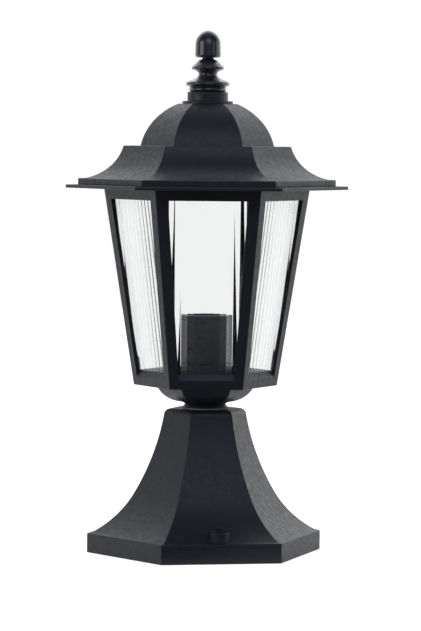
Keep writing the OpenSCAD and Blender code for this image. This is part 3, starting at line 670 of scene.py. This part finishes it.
LIP_HALF, LIP_H, SKIRT_STEP, SKIRT_H, SKIRT_R = 88.3, 5.1, 4.5, 25.9, 34.6
SKIRT_TOP_HALF, DOME_FOOT, DOME_R, DOME_H, ROOF_WALL = 57.4, 45.8, 46.6, 35.4, 2.4
DISC_T, DISC_R, CAP_R, CAP_H, CAP_ROOT = 2.1, 20.0, 16.0, 7.2, 1.2
SPIGOT_BORE_R, SPIGOT_BORE_H, SPIGOT_EDGE, SCREW_HOLE_R, SCREW_HOLE_H = 6.2, 6.7, 0.2, 2.1, 10
RING_PLAY, RING_T, RING_REACH, RING_TOP, RING_CORNER_R = 0.3, 2.0, 8.0, 301.2, 0.6
LIP_TOP_EDGE, SKIRT_FOOT_EDGE, SKIRT_TOP_EDGE, RING_EDGE, CAP_EDGE = 0.8, 0.4, 0.6, 0.4, 0.6
RING_INSET = PANE_INSET + PANE_FULL + RING_PLAY
SKIRT_Z = ROOF_Z + LIP_H
SKIRT_TOP = SKIRT_Z + SKIRT_H
DISC_Z = SKIRT_TOP + DOME_H
DISC_FOOT = DISC_Z - DISC_T
FINIAL_Z = DISC_Z + CAP_H
# The skirt's arc bows inward from the chord between its foot and its top
SKIRT_FOOT = LIP_HALF - SKIRT_STEP
CHORD = Vector((SKIRT_TOP_HALF - SKIRT_FOOT, SKIRT_H))
BOW = sqrt(SKIRT_R ** 2 - (CHORD.length / 2) ** 2) / CHORD.length
SKIRT_X = (SKIRT_FOOT + SKIRT_TOP_HALF) / 2 + SKIRT_H * BOW
SKIRT_CZ = (SKIRT_Z + SKIRT_TOP) / 2 - CHORD.x * BOW
DOME_CZ = SKIRT_TOP - sqrt(DOME_R ** 2 - DOME_FOOT ** 2)


def skirt_side(wall):
    r = SKIRT_R + wall
    return arc(SKIRT_X, SKIRT_CZ, r, hollow_angle(SKIRT_CZ, r, SKIRT_Z - wall),
               hollow_angle(SKIRT_CZ, r, SKIRT_TOP - wall), steps=24)


def dome_side(wall, top):
    r = DOME_R - wall
    start, end = [degrees(asin((z - DOME_CZ) / r)) for z in (SKIRT_TOP - wall, top)]
    return arc(0, DOME_CZ, r, start, end, steps=28)


def locating_ring():
    """The closed section of the ring that drops in behind the panes."""
    foot, inner = ROOF_Z - RING_REACH, RING_INSET + RING_T
    return rounded([leaning(inner, RING_TOP), (*leaning(inner, foot), RING_EDGE),
                    (*leaning(RING_INSET, foot), RING_EDGE), leaning(RING_INSET, RING_TOP)])


def roof_cap():
    """The closed section of the disc and the bored cap on the dome."""
    root, bore_z = DISC_FOOT - CAP_ROOT, FINIAL_Z - SPIGOT_BORE_H
    return rounded([(DISC_R, root), (DISC_R, DISC_Z, EDGE_R), (CAP_R, DISC_Z, EDGE_R),
                    (CAP_R, FINIAL_Z, CAP_EDGE), (SPIGOT_BORE_R, FINIAL_Z, SPIGOT_EDGE),
                    (SPIGOT_BORE_R, bore_z), (SCREW_HOLE_R, bore_z), (SCREW_HOLE_R, root)])


def make_roof():
    skirt, dome = skirt_side(0), dome_side(0, DISC_FOOT)
    outline = rounded([(0, ROOF_Z), (LIP_HALF, ROOF_Z, EDGE_R), (LIP_HALF, SKIRT_Z, LIP_TOP_EDGE),
                       (*skirt[0], SKIRT_FOOT_EDGE), skirt[1]])[1:]
    outline += skirt[2:-1]
    outline += rounded([skirt[-2], (*skirt[-1], SKIRT_TOP_EDGE), (*dome[0], EDGE_R), dome[1]])[1:-1]
    outline += dome[1:] + [(0, DISC_FOOT)]
    ob = add_object("roof_shell", hex_loft(outline, MOULDING_CORNER_R, HEAD_TURN))
    lip_half, ceiling = LIP_HALF - ROOF_WALL, DISC_FOOT - ROOF_WALL
    inside = [(lip_half, ROOF_Z - PAST), (lip_half, SKIRT_Z - ROOF_WALL), *skirt_side(ROOF_WALL),
              *dome_side(ROOF_WALL, ceiling), (0, ceiling)]
    boolean(ob, hex_loft(inside, INNER_CORNER_R, HEAD_TURN), "DIFFERENCE")
    boolean(ob, hex_loft(locating_ring(), RING_CORNER_R, HEAD_TURN, closed=True), "UNION")
    boolean(ob, lathe(roof_cap(), count=96, closed=True), "UNION")
    hole = cylinder(SCREW_HOLE_R, DISC_FOOT - SCREW_HOLE_H, DISC_FOOT + PAST, count=32)
    boolean(ob, hole, "DIFFERENCE")
    finish_piece(ob, "roof", "roof")


make_roof()

# Finial: heights are from its foot, FINIAL_Z

FINIAL_H, SPIGOT_R, SPIGOT_H = 48.4, 6.0, 6.5
BEAD_R, BEAD_EDGE, LOWER_DISC_R, LOWER_DISC_EDGE = 14.8, 1.9, 17.3, 1.7
UPPER_DISC_R, UPPER_DISC_EDGE = 12.8, 1.4
LOWER_DISC_H, UPPER_DISC_H = 6.4, 18.8
# Points as (radius, height)
COVE = [(15.6, 8.3), (12.6, 9.5), (9.6, 10.9), (7.9, 12.4), (7.3, 13.9), (7.6, 15.1), (8.9, 16.2),
        (10.6, 17.1)]
ACORN_R, ACORN_WAIST, ACORN_ARC, ACORN_EDGE, ACORN_FOOT = 10.2, 10.0, 11.2, 2, 27
ACORN_NECK = [(7.68, 24.8), (5.0, 25.6), (4.7, 26), (4.7, ACORN_FOOT)]
TIP_SHARE = 0.97  # how much of the acorn's arc is drawn before its flat tip


def make_finial():
    z, tip = FINIAL_Z, FINIAL_Z + FINIAL_H
    tip_angle = degrees(acos((ACORN_ARC - ACORN_WAIST) / ACORN_ARC))
    line = [(0, z - SPIGOT_H), (SPIGOT_R, z - SPIGOT_H), (SPIGOT_R, z)]
    line += arc(BEAD_R - BEAD_EDGE, z + BEAD_EDGE, BEAD_EDGE, -90, 60, steps=10)
    line += arc(LOWER_DISC_R - LOWER_DISC_EDGE, z + LOWER_DISC_H, LOWER_DISC_EDGE, -50, 70,
                steps=10)
    line += curve([(r, z + h) for r, h in COVE], steps=5)
    line += arc(UPPER_DISC_R - UPPER_DISC_EDGE, z + UPPER_DISC_H, UPPER_DISC_EDGE, -62, 55,
                steps=10)
    line += [(r, z + h) for r, h in ACORN_NECK]
    line += arc(ACORN_R - ACORN_EDGE, z + ACORN_FOOT + ACORN_EDGE, ACORN_EDGE, -90, 0, steps=8)
    line += arc(ACORN_WAIST - ACORN_ARC, tip - ACORN_ARC * sin(radians(tip_angle)), ACORN_ARC,
                0, TIP_SHARE * tip_angle, steps=26)
    line.append((0, tip))
    add_piece("turned_finial", lathe(line, count=96), "roof", "finial", sharp=40)


make_finial()

# Lampholder: two lapped halves

HOLDER_Z, HOLDER_TOP, HOLDER_R, HOLDER_FOOT_R = 130.0, 188.0, 19.5, 4.0
JOINT_Z, JOINT_GAP, JOINT_EDGE, LAP_Z, LAP_R, HOLDER_PLAY = 149.5, 0.1, 0.35, 155.0, 17.3, 0.2
CAP_BORE_R, CAP_FLOOR, BOSS_R, BOSS_H = 15.5, 2.5, 8.0, 10
MOUTH_R, MOUTH_T, MOUTH_EDGE, MOUTH_INNER_EDGE = 14.6, 2, 1.2, 0.7
LAP_FOOT_EDGE, LAP_EDGE, FLOOR_EDGE, BOSS_EDGE, SEAT_RIM = 0.1, 0.3, 0.8, 0.5, 0.2
INSERT_TOP, INSERT_BORE_R, SHELL_ROOM_R = 157.5, 16.7, 15.8
THREAD_PLAY, NIPPLE_R = 0.05, 5.0
THREAD_BORE_R = NIPPLE_R + THREAD_PLAY


def make_holder():
    low, floor, boss = JOINT_Z - JOINT_GAP, HOLDER_Z + CAP_FLOOR, HOLDER_Z + BOSS_H
    cap = rounded([(THREAD_BORE_R, HOLDER_Z), (HOLDER_R, HOLDER_Z, HOLDER_FOOT_R),
                   (HOLDER_R, low, JOINT_EDGE), (LAP_R, low, LAP_FOOT_EDGE),
                   (LAP_R, LAP_Z, LAP_EDGE), (CAP_BORE_R, LAP_Z, LAP_EDGE),
                   (CAP_BORE_R, floor, FLOOR_EDGE), (BOSS_R, floor, FLOOR_EDGE),
                   (BOSS_R, boss, BOSS_EDGE), (THREAD_BORE_R, boss)], steps=6)
    cap_moulding = lathe(cap, count=96, closed=True)
    add_piece("holder_cap_moulding", cap_moulding, "head", "holder_cap")
    lap_r, high = LAP_R + HOLDER_PLAY, JOINT_Z + JOINT_GAP
    mouth, seat = HOLDER_TOP - MOUTH_T, INSERT_TOP + HOLDER_PLAY
    skirt = rounded([(lap_r, high), (HOLDER_R, high, JOINT_EDGE),
                     (HOLDER_R, HOLDER_TOP, MOUTH_EDGE), (MOUTH_R, HOLDER_TOP, MOUTH_INNER_EDGE),
                     (MOUTH_R, mouth, LAP_EDGE), (SHELL_ROOM_R, mouth, LAP_EDGE),
                     (SHELL_ROOM_R, seat, SEAT_RIM), (INSERT_BORE_R, seat, SEAT_RIM),
                     (INSERT_BORE_R, LAP_Z, LAP_FOOT_EDGE), (lap_r, LAP_Z)], steps=6)
    skirt_moulding = lathe(skirt, count=96, closed=True)
    add_piece("holder_skirt_moulding", skirt_moulding, "head", "holder_skirt")


make_holder()

# Threads

SHELL_R, SHELL_T, SHELL_TOP, SHELL_HOLE_R = 13.3, 0.5, 184.0, 6.65
SHELL_PITCH, SHELL_THREAD, SHELL_ROWS = 3.63, 0.45, 72
NIPPLE_BORE, NIPPLE_Z, NIPPLE_TOP = 3.5, 97.5, 139.0
NIPPLE_PITCH, NIPPLE_THREAD, ROWS_PER_TURN = 1.0, 0.3, 6


def rows_between(low, high, count):
    return [low + (high - low) * i / count for i in range(count + 1)]


def thread_wave(angle, z, pitch, low, high):
    """From -1 to 1 along a helical thread, fading out over one pitch at each end."""
    fade = clamp(min((z - low) / pitch, (high - z) / pitch))
    return fade * cos(2 * pi * (z / pitch) - angle)


def make_shell():
    """The screw shell's rolled thread for a screw-in lamp."""
    floor = INSERT_TOP + SHELL_T
    rows = rows_between(floor, SHELL_TOP, SHELL_ROWS)
    root = SHELL_R - SHELL_THREAD

    def outline(angle):
        inside = [(root + SHELL_THREAD * thread_wave(angle, z, SHELL_PITCH, floor, SHELL_TOP), z)
                  for z in rows]
        outside = [(r + SHELL_T, z) for r, z in inside]
        return ([(SHELL_R, INSERT_TOP)] + outside + inside[::-1]
                + [(SHELL_HOLE_R, floor), (SHELL_HOLE_R, INSERT_TOP)])

    shell = slices(bmesh.new(), outline, count=96)
    add_piece("threaded_shell", shell, "head", "screw_shell", sharp=50)


def make_nipple():
    low, high, pitch = NIPPLE_Z, NIPPLE_TOP, NIPPLE_PITCH
    rows = rows_between(low, high, int((high - low) / pitch * ROWS_PER_TURN))
    root = NIPPLE_R - NIPPLE_THREAD

    def outline(angle):
        outside = [(root + NIPPLE_THREAD * thread_wave(angle, z, pitch, low, high), z)
                   for z in rows]
        return outside + [(NIPPLE_BORE, high), (NIPPLE_BORE, low)]

    nipple = slices(bmesh.new(), outline, count=48)
    add_piece("threaded_nipple", nipple, "head", "nipple", sharp=60)


make_shell()
make_nipple()

# Nuts and washers

NUT_HALF, NUT_H, NUT_CORNER_R, NUT_MOUTH = 7.0, 4.0, 0.15, 0.3
NUT_CHAMFER_R, NUT_REACH, NUT_CHAMFER_H = 6.7, 8.2, 0.85
WASHER_R, WASHER_T, WASHER_EDGE, WASHER_BURR, BRACKET_T = 10.0, 1.2, 0.3, 0.2, 1.5


def make_nuts():
    """Three nuts from one chamfered nut, whose mesh is in metres like every finished mesh."""
    nut = add_object("nut", hex_loft([(NUT_HALF, 0), (NUT_HALF, NUT_H)], NUT_CORNER_R, HEAD_TURN))
    barrel = [(0, 0), (NUT_CHAMFER_R, 0), (NUT_REACH, NUT_CHAMFER_H),
              (NUT_REACH, NUT_H - NUT_CHAMFER_H), (NUT_CHAMFER_R, NUT_H), (0, NUT_H)]
    boolean(nut, lathe(barrel, count=96), "INTERSECT")
    mouth_r = THREAD_BORE_R + NUT_MOUTH + PAST
    bore = [(0, -PAST), (mouth_r, -PAST), (THREAD_BORE_R, NUT_MOUTH),
            (THREAD_BORE_R, NUT_H - NUT_MOUTH), (mouth_r, NUT_H + PAST), (0, NUT_H + PAST)]
    boolean(nut, lathe(bore, count=72), "DIFFERENCE")
    lower = CEILING_Z - WASHER_T - NUT_H
    bm = bmesh.new()
    for z in (SEAT_Z + WASHER_T, lower, lower - BRACKET_T - NUT_H):
        known = set(bm.verts)
        bm.from_mesh(nut.data)
        bmesh.ops.translate(bm, vec=(0, 0, z * MM), verts=[v for v in bm.verts if v not in known])
    bmesh.ops.scale(bm, vec=(1 / MM,) * 3, verts=bm.verts)
    bpy.data.objects.remove(nut)
    add_piece("chamfered_nuts", bm, "head", "lock_nuts", sharp=30)


def make_washers():
    bm = bmesh.new()
    for z in (SEAT_Z, CEILING_Z - WASHER_T):
        ring = rounded([(THREAD_BORE_R, z), (WASHER_R, z, WASHER_EDGE),
                        (WASHER_R, z + WASHER_T, WASHER_BURR), (THREAD_BORE_R, z + WASHER_T)])
        slices(bm, lambda angle: ring, count=72)
    add_piece("pressed_washers", bm, "head", "washers", sharp=30)


make_nuts()
make_washers()

# Wires: from a lampholder terminal through the nipple to a pole of the terminal block

WIRE_R, WIRE_SIDES = 1.1, 20
WIRE_PATH = [(9, 0, 145.8), (8.7, 0, 143.8), (7.4, 0, 142.6), (5.4, 0, 142.2), (3.3, 0, 141.4),
             (2.0, 0, 139.8), (1.55, 0, 137), (1.5, 0, 128), (1.5, 0, 108), (1.5, 0.1, 99),
             (1.8, 0.5, 97.2), (2.8, 2.6, 94.8), (4.0, 5.6, 92.9), (4.5, 6.9, 91.2), (4.5, 7, 88),
             (4.5, 7, 83.5)]


def make_wire(mirror, node):
    """A sleeved wire; mirror is 1 or -1, for the side of the head that it runs down."""
    points = [Vector((mirror * x, y, z)) for x, y, z in curve(WIRE_PATH, steps=8)]
    bm = bmesh.new()
    rings, across = [], Vector((0, 1, 0))
    for i, point in enumerate(points):
        along = (points[min(i + 1, len(points) - 1)] - points[max(i - 1, 0)]).normalized()
        across = (across - along * across.dot(along)).normalized()
        other = along.cross(across)
        rings.append([bm.verts.new(point + across * x + other * y)
                      for x, y in round_ring(WIRE_R, WIRE_SIDES)])
    stack(bm, rings)
    bmesh.ops.rotate(bm, cent=(0, 0, 0), matrix=Matrix.Rotation(radians(HEAD_TURN), 3, "Z"),
                     verts=bm.verts)
    add_piece("sleeved_" + node, bm, "head", node, sharp=40)


make_wire(1, "wire_live")
make_wire(-1, "wire_neutral")

# Small fittings: the frame's own shapes with their edges broken by these widths

FITTINGS = {
    "head": {"holder_insert": 0.4, "centre_contact": 0.12, "holder_terminals": 0.2,
             "terminal_bracket": 0.3, "terminal_block": 0.5, "terminal_screws": 0.15,
             "cord_clamp": 0.5, "clamp_screws": 0.25},
    "roof": {"finial_screw": 0.25},
}
FLAT_ANGLE, BROKEN_ANGLE, FITTING_SHARP = 0.5, 25, 32
SHORTEST_EDGE, SAME_POINT = 0.05, 0.002


def eased(node, width):
    """A copy of a frame node with its sharp edges broken."""
    name = "eased_" + node
    mesh = frame["nodes"][node].data.copy()
    mesh.name = name
    bm = bmesh.new()
    bm.from_mesh(mesh)
    bmesh.ops.remove_doubles(bm, verts=bm.verts, dist=SAME_POINT * MM)
    bmesh.ops.dissolve_limit(bm, angle_limit=radians(FLAT_ANGLE), verts=bm.verts, edges=bm.edges)
    edges = [e for e in bm.edges if len(e.link_faces) == 2
             and degrees(e.calc_face_angle(0)) > BROKEN_ANGLE
             and e.calc_length() > SHORTEST_EDGE * MM]
    bmesh.ops.bevel(bm, geom=edges, offset=width * MM, offset_type="OFFSET", segments=3,
                    profile=0.5, affect="EDGES", clamp_overlap=True)
    bm.to_mesh(mesh)
    bm.free()
    ob = link_object(name, mesh)
    smooth(ob, FITTING_SHARP)
    return ob


for body, widths in FITTINGS.items():
    for node, width in widths.items():
        finish_piece(eased(node, width), body, node)

# Stage, in metres: a white table with its front edge near, a white backdrop and soft lamps

STAGE_TURN = radians(CAMERA_TURN)
BACK = Vector((-sin(STAGE_TURN), cos(STAGE_TURN), 0))
TABLE_FRONT, TABLE_BACK, TABLE_SIDE, TABLE_DROP = 0.1, 3.5, 3.0, 0.0003
FLOOR_WHITE, FLOOR_GLOW, FLOOR_MIRRORED = 0.8, 0.74, 0.5
ROOM, AMBIENT = 0.03, 0.55


def math_node(tree, operation, *values):
    """The result of a sum on numbers and sockets."""
    node = tree.nodes.new("ShaderNodeMath")
    node.operation = operation
    for socket, value in zip(node.inputs, values):
        if isinstance(value, (int, float)):
            socket.default_value = value
        else:
            tree.links.new(value, socket)
    return node.outputs[0]


def emission(tree, strength):
    node = tree.nodes.new("ShaderNodeEmission")
    node.inputs["Color"].default_value = grey(1.0)
    node.inputs["Strength"].default_value = strength
    return node.outputs["Emission"]


def seen_through(tree):
    """The light path, and 1 for rays from the camera that came through clear pieces alone."""
    path = tree.nodes.new("ShaderNodeLightPath")
    bounces = math_node(tree, "ADD", path.outputs["Diffuse Depth"], path.outputs["Glossy Depth"])
    unbounced = math_node(tree, "LESS_THAN", bounces, 0.5)
    return path, math_node(tree, "MULTIPLY", path.outputs["Is Transmission Ray"], unbounced)


def floor_material():
    """White to the camera and through the panes, and half as bright in reflections."""
    mat, tree, shader = new_material("pale_floor", Roughness=0.9, Base_Color=grey(FLOOR_WHITE),
                                     Specular_IOR_Level=0.0)
    add = tree.nodes.new("ShaderNodeAddShader")
    tree.links.new(shader.outputs["BSDF"], add.inputs[0])
    tree.links.new(emission(tree, FLOOR_GLOW), add.inputs[1])
    path, through = seen_through(tree)
    mirrored = math_node(tree, "MULTIPLY", path.outputs["Is Glossy Ray"], FLOOR_MIRRORED)
    shown = math_node(tree, "MAXIMUM", path.outputs["Is Camera Ray"], mirrored)
    near = mix_shaders(tree, shown, shader.outputs["BSDF"], add.outputs["Shader"])
    surface = mix_shaders(tree, through, near, emission(tree, 1.0))
    tree.links.new(surface, tree.nodes["Material Output"].inputs["Surface"])
    return mat


def make_floor():
    bm = bmesh.new()
    corners = [(-TABLE_SIDE, -TABLE_FRONT), (TABLE_SIDE, -TABLE_FRONT), (TABLE_SIDE, TABLE_BACK),
               (-TABLE_SIDE, TABLE_BACK)]
    turn = Matrix.Rotation(STAGE_TURN, 4, "Z")
    bm.faces.new([bm.verts.new(turn @ Vector((x, y, -TABLE_DROP))) for x, y in corners])
    mesh = bpy.data.meshes.new("floor")
    bm.to_mesh(mesh)
    bm.free()
    mesh.materials.append(floor_material())
    link_object("floor", mesh)


def make_world():
    """White to the camera; reflections find a white backdrop behind and a dark room in front."""
    world = bpy.data.worlds.new("world")
    bpy.context.scene.world = world
    world.use_nodes = True
    tree = world.node_tree
    sky = tree.nodes["Background"]
    sky.inputs["Color"].default_value = grey(1.0)
    path, through = seen_through(tree)
    coords = tree.nodes.new("ShaderNodeTexCoord")
    toward = tree.nodes.new("ShaderNodeVectorMath")
    toward.operation = "DOT_PRODUCT"
    tree.links.new(coords.outputs["Generated"], toward.inputs[0])
    toward.inputs[1].default_value = BACK
    ambient = tree.nodes.new("ShaderNodeMix")
    bounced = math_node(tree, "GREATER_THAN", path.outputs["Diffuse Depth"], 0.5)
    tree.links.new(bounced, ambient.inputs["Factor"])
    backdrop = ramp(tree, toward.outputs["Value"], [(0.08, grey(ROOM)), (0.45, grey(1.0))],
                    ambient.inputs["A"])
    backdrop.color_ramp.interpolation = "EASE"
    ambient.inputs["B"].default_value = AMBIENT
    level = tree.nodes.new("ShaderNodeMix")
    seen = math_node(tree, "MAXIMUM", path.outputs["Is Camera Ray"], through)
    tree.links.new(seen, level.inputs["Factor"])
    tree.links.new(ambient.outputs["Result"], level.inputs["A"])
    level.inputs["B"].default_value = 1.0
    tree.links.new(level.outputs["Result"], sky.inputs["Strength"])


LAMP_REACH, LAMP_AIM = 1.4, Vector((0, 0, 0.22))
DAYLIGHT, COOL = (0.96, 1.0, 1.04), (0.84, 0.96, 1.18)


def lamp(name, azimuth, rise, size, radiance, colour=DAYLIGHT):
    """A soft box aimed at the object's middle, its strength given as what a mirror would show."""
    data = bpy.data.lights.new(name, "AREA")
    data.shape = "RECTANGLE"
    data.size, data.size_y = size
    data.energy = radiance * pi * size[0] * size[1]
    data.color = colour
    ob = link_object(name, data)
    a, e = radians(azimuth), radians(rise)
    away = Vector((cos(a) * cos(e), sin(a) * cos(e), sin(e)))
    ob.location = LAMP_AIM + away * LAMP_REACH
    ob.rotation_euler = (-away).to_track_quat("-Z", "Y").to_euler()
    ob.visible_camera = False
    ob.visible_transmission = False


make_floor()
make_world()
lamp("right_softbox", 45, 10, (1.46, 0.7), 0.6)
lamp("right_high_softbox", 45, 42, (0.82, 0.8), 0.7)
lamp("back_high_softbox", 90, 42, (0.82, 0.8), 0.7)
lamp("left_softbox", 140, 30, (0.8, 0.9), 0.06)
lamp("left_front_softbox", 200, 14, (0.8, 0.8), 2.1)
lamp("right_side_softbox", 352, 12, (0.5, 0.8), 1.2)
lamp("right_front_softbox", 312, 12, (0.4, 0.8), 0.8, COOL)
lamp("front_high_softbox", 268, 34, (0.82, 0.8), 1.35, COOL)
lamp("top_softbox", 0, 90, (0.9, 0.9), 0.18)
